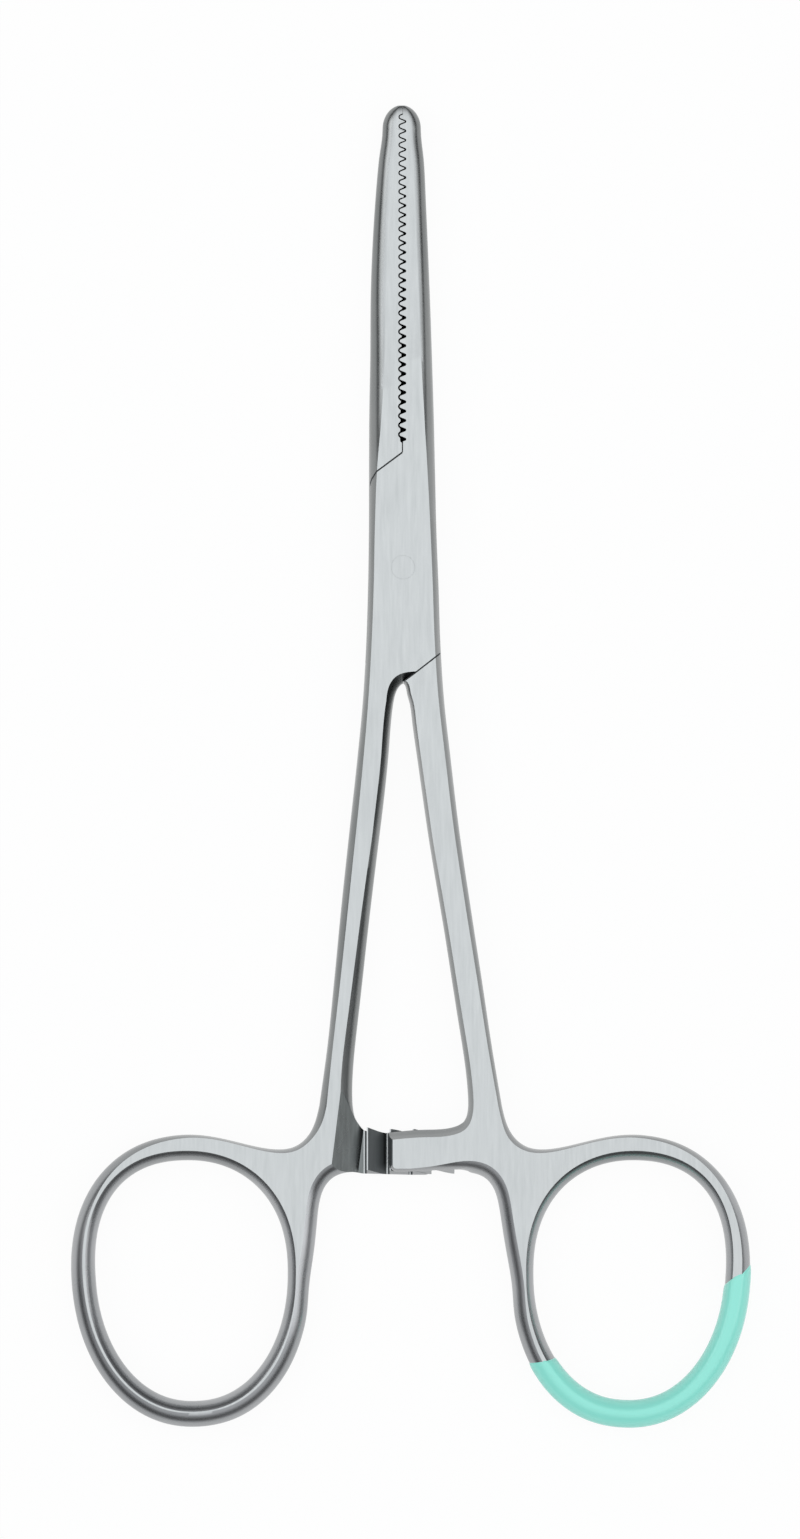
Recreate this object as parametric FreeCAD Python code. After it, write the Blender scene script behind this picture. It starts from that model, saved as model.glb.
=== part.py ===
import FreeCAD, Part
import math
import os

from FreeCAD import Vector

# A straight hemostat: two forgings joined by a box lock, closed on the first click of the ratchet.
# Millimetres. The origin is on the pivot axis at the underside of the box, +Y to the tips, +Z up.
# The forgings are drawn about their middle plane, z = 0, and lifted onto the table at the end.

# Overall reach
JAW_REACH = 49.0          # pivot to the tips
SHANK_REACH = 57.0        # pivot to where the ring end of each forging begins

# Thickness
BOX_THICKNESS = 4.6
SHANK_THICKNESS = 3.5
GRINDING_STOCK = 0.05     # height that the forging has above its ground flats, each side
TAPER_TOP = -10.0         # the flats start to fall from the box to the shanks here
TAPER_BOTTOM = -40.0      # and have reached the thickness of the shanks here
FLAT_EDGE_ANGLE = 60.0    # how far round the rounded sides turn before they meet a flat

# Box lock
BOX_SHOULDER_TOP = 12.1       # where the upper shoulders meet on the centre line
BOX_SHOULDER_BOTTOM = -11.1   # where the lower edge of the plates meets the crotch
SHOULDER_RISE_TOP = 0.74      # slopes of the shoulder lines
SHOULDER_RISE_BOTTOM = 0.78
SHOULDER_RUN_TOP = 2.75       # widths of the shoulder lines, from the centre line outwards
SHOULDER_RUN_BOTTOM = 4.60
SHOULDER_GAP = 0.06
TENON_THICKNESS = 1.9
TENON_PLAY = 0.05             # above, below and around the tenon
SLOT_RADIUS = 11.0            # the ends of the slot are arcs about the pivot
PIN_RADIUS = 1.25
PIN_RUNNING_FIT = 0.03

# Gripping faces
SERRATION_PITCH = 0.99
SERRATION_DEPTH = 0.70
SERRATION_TIP_RADIUS = 0.16
SERRATION_START = 13.3
TIP_MARGIN = 0.6              # plain length between the last tooth and the tip
SERRATION_FLANK = 68.0        # lean of the flanks, in degrees
JAW_GAP_AT_TIP = 0.09
JAW_GAP_AT_BOX = 0.15
CREST_WEAR_AT_BOX = 0.25      # how much lower the left jaw's crests are near the box than at the tip

# Ratchet
ARM_REACH = 12.07         # from the outer edge of the shank to the end of the arm
ARM_BOTTOM = 7.15         # below the start of the ring end
ARM_TOP = 2.5
ARM_TOP_SLOPE = 0.09
ARM_BEVEL = 0.55
ARM_CORNER = 0.9
TOOTH_COUNT = 3
TOOTH_PITCH = 2.43
TOOTH_HEIGHT = 0.70
TOOTH_CLEARANCE = 0.10    # between the ramps of the two arms when they are in mesh
LAST_TOOTH = 9.70         # steep face of the tooth nearest the arm's end, from the shank's outer edge
ARM_STOCK = 0.8           # metal above the arm that the space between the shanks takes away
MILLED_SLOPE_RUN = 2.9    # run of the sloping face between the flat and the ratchet
LEFT_SLOPE_ANGLE = 7.0    # the sloping faces run out at the inner edges of the shanks
RIGHT_SLOPE_ANGLE = 12.8
MILLED_SLOPE_TOP = 8.0    # how far they reach above the start of the ring end
MILLED_FOOT_GAP = 0.35    # between its foot and the first tooth, at the top of the arm

# Ring end, from the outer edge of the shank where the ring end begins
RING_CENTRE = (13.65, -18.59)
RING_HALF_WIDTH = 12.57
RING_HALF_HEIGHT = 15.48
RING_TAPER = 0.040
RING_TILT = -4.0
RING_SQUARENESS = 2.15
HOLE_CENTRE = (13.50, -18.56)
HOLE_HALF_WIDTH = 10.15
HOLE_HALF_HEIGHT = 12.76
HOLE_TAPER = 0.087
HOLE_TILT = -1.9
HOLE_SQUARENESS = 2.21
HOLE_LEAN = 0.56          # how far the top of the hole leans away from the shank
HOLE_BEVEL = 1.15
LEFT_THROAT = 0.0         # extra metal at the inside of the corner between the arm and the ring
RIGHT_THROAT = 0.35

# Outline of the ring end before and after the ring itself. Rows: x, y, bevel
SHOULDER_OUTLINE = ((1.15, -3.15, 0.55), (2.70, -4.40, 0.45), (4.50, -4.66, 0.35), (6.90, -4.32, 0.25))
CORNER_OUTLINE = ((0.55, -15.3, 1.42), (0.22, -12.1, 1.38), (-0.05, -10.1, 1.40), (-0.60, -8.6, 1.45),
                  (-1.55, -7.6, 1.50), (-2.90, -7.12, 1.45), (-4.60, -7.05, 1.25), (-7.20, -7.10, 0.80))
CORNER_THROAT = (0.3, 0.8, 1.0, 0.9, 0.7, 0.5, 0.2, 0.1)
RING_BEVELS = ((-180, 1.48), (-90, 1.70), (0, 1.40), (30, 1.20), (60, 0.75), (100, 0.22))

# Dipped colour coating on one ring
COATING_THICKNESS = 0.13
COATING_EDGE = ((30.5, -14.2), (23.9, -18.8), (5.6, -26.7), (-1.0, -27.9))

# Half width and bevel on each side, half height and roundness, along the closed jaws and the box.
# Rows: share of the jaw reach, left edge, right edge, half height, left bevel, right bevel, angle
JAW_STATIONS = (
    (0.949, -2.17, 1.89, 1.35, 2.00, 1.75, 86),
    (0.878, -2.58, 2.22, 1.46, 2.40, 2.05, 86),
    (0.776, -3.00, 2.46, 1.63, 2.75, 2.25, 86),
    (0.612, -3.40, 2.80, 1.88, 3.10, 2.50, 84),
    (0.449, -3.48, 3.08, 2.12, 2.60, 2.30, 76),
    (0.327, -3.58, 3.26, 2.27, 1.70, 1.60, 68),
    (0.204, -3.61, 3.40, 2.35, 0.85, 0.85, 62),
    (0.082, -3.62, 3.54, 2.35, 0.60, 0.60, 60),
)
# Rows: share of the shank reach, left edge, right edge, left bevel, right bevel
SHANK_STATIONS = (
    (0.035, -3.71, 3.77, 0.57, 0.57),
    (0.140, -3.90, 3.96, 0.55, 0.55),
    (0.246, -4.25, 4.35, 0.57, 0.55),
    (0.351, -4.82, 5.02, 0.65, 0.55),
    (0.491, -5.69, 5.98, 0.75, 0.57),
    (0.632, -6.55, 7.17, 0.85, 0.55),
    (0.772, -7.32, 8.40, 0.92, 0.50),
    (0.895, -8.05, 9.46, 0.98, 0.45),
    (1.000, -8.87, 10.47, 1.02, 0.42),
)
NOSE_LENGTH = 2.5
NOSE_SHARES = (0.03, 0.10, 0.22, 0.40, 0.65)

# Inner edges of the shanks as (share of the shank reach, half gap), and their bevels
LEFT_INNER = ((0.233, 0.76), (0.250, 1.00), (0.284, 1.25), (0.340, 1.50), (0.507, 2.55), (0.674, 3.70),
              (0.840, 4.76), (0.982, 5.38))
RIGHT_INNER = ((0.233, 0.40), (0.250, 0.66), (0.284, 0.95), (0.340, 1.38), (0.507, 2.75), (0.674, 4.34),
               (0.840, 5.82), (0.982, 6.88))
CROTCH = 0.213            # share of the shank reach at the crotch, on the middle plane
CROTCH_OVERLAP = -0.6     # the space starts past the centre line, so the two halves are parted
SHANK_WIDTH_AT_ARM = 3.55
# Corner between shank and arm: below the start of the ring end, and inside the shank's inner edge
ARM_ROOT_CORNER = ((0.9, 0.12), (2.0, 0.62))
ARM_TOP_LINE = ((0, 1.6), (3, 4.6), (8, 9.6))
LEFT_INNER_BEVELS = (1.05, 0.78, 1.25)
RIGHT_INNER_BEVELS = (0.40, 0.42, 0.56)

SIDE_STEPS = 3            # facets from the middle of a rounded side to its flat
BIG = 120.0


def half_height_of_flat(y):
    """Half the thickness between the flats: two tangent arcs lead from the box to the shanks."""
    share = (TAPER_TOP - y) / (TAPER_TOP - TAPER_BOTTOM)
    share = min(max(share, 0.0), 1.0)
    fall = 2 * share ** 2 if share < 0.5 else 1 - 2 * (1 - share) ** 2
    return (BOX_THICKNESS - fall * (BOX_THICKNESS - SHANK_THICKNESS)) / 2


def side_law(angle):
    """Share of the bevel and of the half height, from the lower edge of a side to its upper edge."""
    turn = math.radians(angle)
    steps = [turn * i / SIDE_STEPS for i in range(-SIDE_STEPS, SIDE_STEPS + 1)]
    return [((1 - math.cos(a)) / (1 - math.cos(turn)), math.sin(a) / math.sin(turn)) for a in steps]


def spline(points, parameters=None, closed=False):
    """A smooth curve through the points. Like curves share their parameters, so lofts stay light."""
    if parameters is None:
        parameters = [float(i) for i in range(len(points) + closed)]
    curve = Part.BSplineCurve()
    curve.interpolate(Points=points, PeriodicFlag=closed, Parameters=parameters)
    return curve


def line(start, end):
    return Part.LineSegment(start, end).toShape()


def prism(points, low, high):
    """A solid with straight sides over a polygon in plan."""
    corners = [Vector(x, y, low) for x, y in points]
    face = Part.Face(Part.makePolygon(corners + corners[:1]))
    return face.extrude(Vector(0, 0, high - low))


def egg(centre, half_width, half_height, taper, squareness, tilt, lean, degrees):
    """A superellipse that is wider at the top, tilted about its centre, with a leaning top."""
    angle = math.radians(degrees)
    c, s = math.cos(angle), math.sin(angle)
    x = half_width * math.copysign(abs(c) ** (2 / squareness), c) * (1 + taper * s)
    x += lean * max(s, 0.0) ** 2
    y = half_height * math.copysign(abs(s) ** (2 / squareness), s)
    turn = math.radians(tilt)
    return (centre[0] + x * math.cos(turn) - y * math.sin(turn),
            centre[1] + x * math.sin(turn) + y * math.cos(turn))


def between(rows, value):
    """Straight-line reading of a short table of (value, result) pairs in rising order."""
    if value <= rows[0][0]:
        return rows[0][1]
    for (x0, y0), (x1, y1) in zip(rows, rows[1:]):
        if value <= x1:
            return y0 + (y1 - y0) * (value - x0) / (x1 - x0)
    return rows[-1][1]


# The closed envelope of jaws, box and shanks

def section(y, left, right, height, left_bevel, right_bevel, angle):
    """One closed section across the instrument: rounded sides joined by two flats."""
    law = side_law(angle)
    left_side = [Vector(left + left_bevel * inset, y, height * z) for inset, z in law]
    right_side = [Vector(right - right_bevel * inset, y, height * z) for inset, z in reversed(law)]
    return Part.makePolygon(left_side + right_side + left_side[:1])


def make_envelope():
    """Loft from the tips to the start of the ring ends."""
    wires = []
    share, left, right, height, left_bevel, right_bevel, angle = JAW_STATIONS[0]
    middle = (left + right) / 2
    half = (right - left) / 2
    for nose in NOSE_SHARES:
        narrow = math.sqrt(1 - (1 - nose) ** 2)
        y = JAW_REACH - nose * NOSE_LENGTH
        wires.append(section(y, middle - half * narrow, middle + half * narrow,
                             height * (0.45 + 0.55 * narrow),
                             left_bevel * narrow, right_bevel * narrow, angle))
    for share, left, right, height, left_bevel, right_bevel, angle in JAW_STATIONS:
        wires.append(section(share * JAW_REACH, left, right, height, left_bevel, right_bevel, angle))
    for share, left, right, left_bevel, right_bevel in SHANK_STATIONS:
        y = -share * SHANK_REACH
        height = half_height_of_flat(y) + GRINDING_STOCK
        wires.append(section(y, left, right, height, left_bevel, right_bevel, FLAT_EDGE_ANGLE))
    return Part.makeLoft(wires, True, False, False, 3)


def grinding_limits():
    """The space between the two ground planes, drawn from the side and run across the width."""
    count = 6
    mids = [TAPER_TOP + (TAPER_BOTTOM - TAPER_TOP) * i / (2 * count) for i in range(2 * count + 1)]
    box_half, shank_half = BOX_THICKNESS / 2, SHANK_THICKNESS / 2
    middle = (TAPER_TOP + TAPER_BOTTOM) / 2

    def taper(sign):
        points = [Vector(-BIG, y, sign * half_height_of_flat(y)) for y in mids]
        first = Part.Arc(points[0], points[count // 2], points[count]).toShape()
        second = Part.Arc(points[count], points[count + count // 2], points[-1]).toShape()
        return first, second

    def corner(y, z):
        return Vector(-BIG, y, z)

    first, second = taper(1)
    third, fourth = taper(-1)
    edges = [
        line(corner(BIG, box_half), corner(TAPER_TOP, box_half)), first, second,
        line(corner(TAPER_BOTTOM, shank_half), corner(-BIG, shank_half)),
        line(corner(-BIG, shank_half), corner(-BIG, -shank_half)),
        line(corner(-BIG, -shank_half), corner(TAPER_BOTTOM, -shank_half)), fourth, third,
        line(corner(TAPER_TOP, -box_half), corner(BIG, -box_half)),
        line(corner(BIG, -box_half), corner(BIG, box_half)),
    ]
    return Part.Face(Part.Wire(edges)).extrude(Vector(2 * BIG, 0, 0))


# Ring end with its ratchet arm, drawn outwards from the outer edge of the shank

def ring_end_outline(shank_bevel, throat):
    """Points and bevels from the shank's outer edge, over the shoulder and round to the arm."""
    rows = [(0.0, 0.0, shank_bevel), (0.40, -1.6, 0.8 * shank_bevel + 0.1)]
    rows += SHOULDER_OUTLINE
    for degrees in range(105, -176, -10):
        x, y = egg(RING_CENTRE, RING_HALF_WIDTH, RING_HALF_HEIGHT, RING_TAPER, RING_SQUARENESS,
                   RING_TILT, 0.0, degrees)
        rows.append((x, y, between(RING_BEVELS, degrees)))
    for (x, y, bevel), share in zip(CORNER_OUTLINE, CORNER_THROAT):
        rows.append((x - throat * share, y - throat * share / 3, bevel))
    rows.append((0.8 * -ARM_REACH, -ARM_BOTTOM, ARM_BEVEL))
    return rows


def ring_end_wire(rows, share, z, parameters, normals):
    """The outline of the ring end at one height, with the bevel taken off to that share."""
    points = [Vector(x + n.x * bevel * share, y + n.y * bevel * share, z)
              for (x, y, bevel), n in zip(rows, normals)]
    inset = ARM_BEVEL * share
    radius = ARM_CORNER - inset
    centre_low = (-ARM_REACH + ARM_CORNER, -ARM_BOTTOM + ARM_CORNER)
    centre_high = (-ARM_REACH + ARM_CORNER, -ARM_TOP + ARM_STOCK - ARM_CORNER)
    inner_edge = -SHANK_WIDTH_AT_ARM - ARM_STOCK

    def on_corner(centre, degrees):
        angle = math.radians(degrees)
        return Vector(centre[0] + radius * math.cos(angle), centre[1] + radius * math.sin(angle), z)

    low = [on_corner(centre_low, d) for d in (270, 225, 180)]
    high = [on_corner(centre_high, d) for d in (180, 135, 90)]
    inner_low = Vector(inner_edge, high[-1].y, z)
    inner_high = Vector(inner_edge, 0, z)
    return Part.Wire([
        spline(points, parameters=parameters).toShape(),
        line(points[-1], low[0]),
        Part.Arc(*low).toShape(),
        line(low[-1], high[0]),
        Part.Arc(*high).toShape(),
        line(high[-1], inner_low),
        line(inner_low, inner_high),
        line(inner_high, points[0]),
    ])


def make_ring_plate(shank_bevel, throat):
    """The ring end as a rounded plate, before its hole and ratchet are cut."""
    rows = ring_end_outline(shank_bevel, throat)
    middle = [Vector(x, y, 0) for x, y, bevel in rows]
    parameters = [0.0]
    for start, end in zip(middle, middle[1:]):
        parameters.append(parameters[-1] + (end - start).Length)
    curve = spline(middle, parameters=parameters)
    tangents = [curve.tangent(t)[0] for t in parameters]
    normals = [Vector(t.y, -t.x, 0) for t in tangents]
    normals[0] = Vector(-1, 0, 0)
    normals[-1] = Vector(0, 1, 0)
    height = SHANK_THICKNESS / 2 + GRINDING_STOCK
    wires = [ring_end_wire(rows, share, height * z, parameters, normals)
             for share, z in side_law(FLAT_EDGE_ANGLE)]
    return Part.makeLoft(wires, True, True)


def egg_plate(centre, half_width, half_height, taper, squareness, tilt, lean, bevel, height, grow):
    """A rounded plate with an egg outline. A negative bevel widens it towards the flats."""
    wires = []
    for share, z in side_law(FLAT_EDGE_ANGLE):
        points = []
        for degrees in range(0, 360, 12):
            inset = bevel(degrees) * share - grow
            x, y = egg(centre, half_width, half_height, taper, squareness, tilt, lean, degrees)
            x0, y0 = egg(centre, half_width, half_height, taper, squareness, tilt, lean, degrees - 1)
            x1, y1 = egg(centre, half_width, half_height, taper, squareness, tilt, lean, degrees + 1)
            length = math.hypot(x1 - x0, y1 - y0)
            points.append(Vector(x - inset * (y1 - y0) / length, y + inset * (x1 - x0) / length,
                                 height * z))
        wires.append(Part.Wire(spline(points, closed=True).toShape()))
    return Part.makeLoft(wires, True, True)


def make_hole(grow, height):
    return egg_plate(HOLE_CENTRE, HOLE_HALF_WIDTH, HOLE_HALF_HEIGHT, HOLE_TAPER, HOLE_SQUARENESS,
                     HOLE_TILT, HOLE_LEAN, lambda degrees: -HOLE_BEVEL, height, grow)


def ring_bevel(degrees):
    if degrees <= 100:
        return between(RING_BEVELS, degrees)
    return between(RING_BEVELS, degrees - 360)


def make_ring_blank(grow, height):
    return egg_plate(RING_CENTRE, RING_HALF_WIDTH, RING_HALF_HEIGHT, RING_TAPER, RING_SQUARENESS,
                     RING_TILT, 0.0, ring_bevel, height, grow)


def make_ratchet_cutter(slope_angle):
    """What is milled away above the teeth, with a slope up to the flat that leans along the shank."""
    crest = (TOOTH_HEIGHT - TOOTH_CLEARANCE) / 2
    root = crest - TOOTH_HEIGHT
    top = SHANK_THICKNESS
    low, high = -(ARM_BOTTOM + 2), -ARM_TOP + 1.2 * ARM_STOCK
    first_tooth = -LAST_TOOTH + (TOOTH_COUNT - 1) * TOOTH_PITCH
    start = [(-ARM_REACH - 1, top), (-ARM_REACH - 1, root)]
    teeth = start + [(-LAST_TOOTH - TOOTH_PITCH, root)]
    for tooth in range(TOOTH_COUNT):
        x = -LAST_TOOTH + tooth * TOOTH_PITCH
        teeth += [(x, crest), (x, root)]
    lean = math.tan(math.radians(slope_angle))
    run = MILLED_SLOPE_RUN * (top - root) / (SHANK_THICKNESS / 2 - root)

    def outline(y, profile):
        foot = first_tooth + MILLED_FOOT_GAP - lean * (y + ARM_TOP)
        corners = [Vector(x, y, z) for x, z in profile + [(foot, root), (foot + run, top)]]
        return Part.makePolygon(corners + corners[:1])

    ratchet = Part.makeLoft([outline(low, teeth), outline(high, teeth)], True, True)
    slope = Part.makeLoft([outline(high, start), outline(MILLED_SLOPE_TOP, start)], True, True)
    return ratchet.fuse(slope).removeSplitter()


# Space between the shanks

def make_gap(inner, bevels, side, outer_x):
    """The space beside one shank, from the crotch to the ratchet arm, waisted at mid height."""
    arm_root = outer_x - SHANK_WIDTH_AT_ARM
    rows = [(-CROTCH * SHANK_REACH, 5 * CROTCH_OVERLAP), (-CROTCH * SHANK_REACH, CROTCH_OVERLAP),
            (-(CROTCH + 0.004) * SHANK_REACH, -0.2 * CROTCH_OVERLAP)]
    rows += [(-share * SHANK_REACH, half) for share, half in inner]
    rows += [(-SHANK_REACH - below, arm_root - inside) for below, inside in ARM_ROOT_CORNER]
    rows += [(-SHANK_REACH - ARM_TOP - run * ARM_TOP_SLOPE, arm_root - inside)
             for run, inside in ARM_TOP_LINE]
    middle = [Vector(half, y, 0) for y, half in rows]
    parameters = [0.0]
    for start, end in zip(middle, middle[1:]):
        parameters.append(parameters[-1] + (end - start).Length)
    curve = spline(middle, parameters=parameters)
    normals = []
    for t in parameters:
        tangent = curve.tangent(t)[0]
        normals.append(Vector(-tangent.y, tangent.x, 0))
    wires = []
    top = BOX_THICKNESS / 2 + GRINDING_STOCK
    for i in range(-SIDE_STEPS, SIDE_STEPS + 1):
        z = top * i / SIDE_STEPS
        points = []
        for (y, half), n in zip(rows, normals):
            bevel = between(((-SHANK_REACH - 3, ARM_BEVEL), (-SHANK_REACH, bevels[2]),
                             (-0.5 * SHANK_REACH, bevels[1]), (-0.25 * SHANK_REACH, bevels[1]),
                             (-CROTCH * SHANK_REACH, bevels[0])), y)
            share = min(abs(z) / half_height_of_flat(y), 1.06)
            points.append(Vector(half + n.x * bevel * share ** 2, y + n.y * bevel * share ** 2, z))
        far = [Vector(-outer_x, points[-1].y, z), Vector(-outer_x, points[0].y, z)]
        wires.append(Part.Wire([spline(points, parameters=parameters).toShape(),
                                line(points[-1], far[0]), line(far[0], far[1]),
                                line(far[1], points[0])]))
    gap = Part.makeLoft(wires, True, True)
    return gap.mirror(Vector(0, 0, 0), Vector(1, 0, 0)) if side < 0 else gap


# Gripping faces and the zones of the two forgings

def wave_edges(gap_at_tip, gap_at_box, wear_at_box):
    """The serrated line up the gripping face, and the lowest and highest y that it reaches."""
    count = int((JAW_REACH - TIP_MARGIN - SERRATION_START) / SERRATION_PITCH)
    half_pitch = SERRATION_PITCH / 2
    flank_slope = math.radians(SERRATION_FLANK)
    rise = half_pitch * math.tan(flank_slope)
    reach = SERRATION_TIP_RADIUS * math.tan(flank_slope)
    top_of_round = SERRATION_DEPTH / 2
    along = reach * math.cos(flank_slope)
    across = rise / 2 - reach * math.sin(flank_slope)

    def shift(y):
        share = (y - SERRATION_START) / (JAW_REACH - SERRATION_START)
        return gap_at_box + (gap_at_tip - gap_at_box) * share

    def point(x, y):
        return Vector(x - shift(y), y, 0)

    start = point(0, SERRATION_START)
    edges = []
    last = start
    for i in range(2 * count):
        sign = 1 if i % 2 == 0 else -1
        y = SERRATION_START + (i + 0.5) * half_pitch
        wear = wear_at_box * (JAW_REACH - y) / (JAW_REACH - SERRATION_START) if sign > 0 else 0.0
        side = min(across, top_of_round - wear)
        half_top = along + (across - side) / math.tan(flank_slope)
        first, crown, final = (point(sign * side, y - half_top),
                               point(sign * (top_of_round - wear), y),
                               point(sign * side, y + half_top))
        edges += [line(last, first), line(first, crown), line(crown, final)]
        last = final
    end = point(0, SERRATION_START + 2 * count * half_pitch)
    edges.append(line(last, end))
    return edges, start, end


def shoulder_lines(gap):
    """Plan points of the upper left and the lower right shoulder line, moved off the box by a gap."""
    end = BOX_SHOULDER_TOP - SHOULDER_RUN_TOP * SHOULDER_RISE_TOP
    upper = [(0.0, BOX_SHOULDER_TOP), (-SHOULDER_RUN_TOP, end), (-1.2 * SHOULDER_RUN_TOP, end - 0.85),
             (-1.36 * SHOULDER_RUN_TOP, end - 2.26)]
    start = 1.25
    rise = (SHOULDER_RUN_BOTTOM - start) * SHOULDER_RISE_BOTTOM
    lower = [(start, BOX_SHOULDER_BOTTOM), (SHOULDER_RUN_BOTTOM, BOX_SHOULDER_BOTTOM + rise)]
    slope = math.atan((SHOULDER_RISE_TOP + SHOULDER_RISE_BOTTOM) / 2)
    aside, along = gap * math.sin(slope), gap * math.cos(slope)
    return ([(x - aside, y + along) for x, y in upper], [(x + aside, y - along) for x, y in lower])


def tenon_zones(as_cutter):
    """The zones of the forging that passes through the box, or the room the other leaves for it."""
    if as_cutter:
        gap, play, parting = 0.0, 0.0, 0.0
        edges, start, end = wave_edges(0.0, 0.0, 0.0)
    else:
        gap, play, parting = SHOULDER_GAP, TENON_PLAY, 0.4 * TENON_PLAY
        edges, start, end = wave_edges(JAW_GAP_AT_TIP, JAW_GAP_AT_BOX, CREST_WEAR_AT_BOX)
    upper, lower = shoulder_lines(gap)
    run = 2 * SHOULDER_RUN_BOTTOM
    past_tip = JAW_REACH + 1

    shoulder = [Vector(x, y, 0) for x, y in upper]
    shoulder[0].x = start.x
    corners = [end, Vector(end.x, past_tip, 0), Vector(-run, past_tip, 0),
               Vector(-run, shoulder[-1].y, 0)] + shoulder[::-1] + [start]
    outline = edges + [line(a, b) for a, b in zip(corners, corners[1:])]
    upper_zone = Part.Face(Part.Wire(outline))
    upper_zone.translate(Vector(0, 0, -BOX_THICKNESS))
    upper_zone = upper_zone.extrude(Vector(0, 0, 2 * BOX_THICKNESS))

    crotch = lower[0][1] - 0.98
    lower_zone = prism([(parting, -BIG), (BIG, -BIG), (BIG, lower[-1][1])] + lower[::-1]
                       + [(parting, crotch)], -BOX_THICKNESS, BOX_THICKNESS)

    half = TENON_THICKNESS / 2 + TENON_PLAY - play
    disc = Part.makeCylinder(SLOT_RADIUS - play, 2 * half, Vector(0, 0, -half))
    top, bottom = BOX_SHOULDER_TOP + 0.5, BOX_SHOULDER_BOTTOM - 2
    neck = prism([(-run, 0), (-play, 0), (-play, top), (-run, top)], -half, half)
    root = prism([(play, 0), (run, 0), (run, bottom), (play, bottom)], -half, half)
    return upper_zone, lower_zone, disc.fuse([neck, root])


def single(shape):
    """The largest solid of a result, with faces that lie in one plane joined."""
    solids = sorted(shape.Solids, key=lambda s: s.Volume)
    return solids[-1].removeSplitter()


def build():
    last = SHANK_STATIONS[-1]
    left_x, right_x = last[1], last[2]

    def place_left(shape):
        shape = shape.copy()
        shape.translate(Vector(-left_x, -SHANK_REACH, 0))
        return shape.mirror(Vector(0, 0, 0), Vector(1, 0, 0))

    def place_right(shape):
        shape = shape.mirror(Vector(0, 0, 0), Vector(0, 0, 1))
        shape.translate(Vector(right_x, -SHANK_REACH, 0))
        return shape

    height = SHANK_THICKNESS / 2 + GRINDING_STOCK
    left_plate = place_left(make_ring_plate(last[3], LEFT_THROAT))
    right_plate = place_right(make_ring_plate(last[4], RIGHT_THROAT))
    envelope = make_envelope()

    hole = make_hole(0.0, height)
    left_milling = place_left(make_ratchet_cutter(LEFT_SLOPE_ANGLE))
    right_milling = place_right(make_ratchet_cutter(RIGHT_SLOPE_ANGLE))
    left_end = left_plate.cut([place_left(hole), left_milling])
    right_end = right_plate.cut([place_right(hole), right_milling])

    limits = grinding_limits()
    envelope = envelope.common(limits)
    left_end = left_end.common(limits)
    right_end = right_end.common(limits)

    left_gap = make_gap(LEFT_INNER, LEFT_INNER_BEVELS, -1, -left_x)
    right_gap = make_gap(RIGHT_INNER, RIGHT_INNER_BEVELS, 1, right_x)

    box_half = envelope.cut(list(tenon_zones(as_cutter=True)))
    box_half = box_half.cut([left_gap, left_milling])
    box_half = box_half.fuse(left_end.cut(left_gap))

    upper, lower, slot = tenon_zones(as_cutter=False)
    tenon_half = envelope.common(upper.fuse([lower, slot]))
    tenon_half = tenon_half.cut([right_gap, right_milling])
    tenon_half = tenon_half.fuse(right_end.cut(right_gap))

    pin = Part.makeCylinder(PIN_RADIUS, BOX_THICKNESS, Vector(0, 0, -BOX_THICKNESS / 2))
    running_bore = Part.makeCylinder(PIN_RADIUS + PIN_RUNNING_FIT, BOX_THICKNESS,
                                     Vector(0, 0, -BOX_THICKNESS / 2))
    box_half = single(box_half.cut(pin))
    tenon_half = single(tenon_half.cut(running_bore))

    grown = make_ring_blank(COATING_THICKNESS, height + COATING_THICKNESS)
    grown = grown.cut(make_hole(-COATING_THICKNESS, height + COATING_THICKNESS))
    below = list(COATING_EDGE) + [(COATING_EDGE[-1][0], -BIG), (COATING_EDGE[0][0], -BIG)]
    coating = grown.common(prism(below, -BIG, BIG))
    flat = SHANK_THICKNESS / 2 + COATING_THICKNESS
    coating = coating.common(Part.makeBox(BIG, BIG, 2 * flat, Vector(-10, -BIG, -flat)))
    coating = single(place_right(coating).cut(tenon_half))

    lift = Vector(0, 0, BOX_THICKNESS / 2)
    pieces = {"box_half": box_half, "tenon_half": tenon_half, "pivot_pin": pin,
              "colour_coating": coating}
    for shape in pieces.values():
        shape.translate(lift)
    return pieces


os.makedirs("parts", exist_ok=True)
for name, shape in build().items():
    shape.exportStep(os.path.join("parts", name + ".step"))
    print(name, "solids", len(shape.Solids), "valid", shape.isValid(), "volume", round(shape.Volume, 2))
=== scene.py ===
# %% [markdown]
# # A straight hemostat in satin steel
# A hemostat is a small locking clamp. Two steel halves cross in a box lock: the tenon of one half
# passes through a slot in the other, and a pin holds them. The jaws are half round outside and
# serrated inside, the arms near the rings carry a ratchet, and the rings take thumb and finger.
#
# The model in this file is in metres, with +Y to the jaw tips, +X to the right and +Z up from the
# table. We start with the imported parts, which say where everything is and how it moves.

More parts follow.
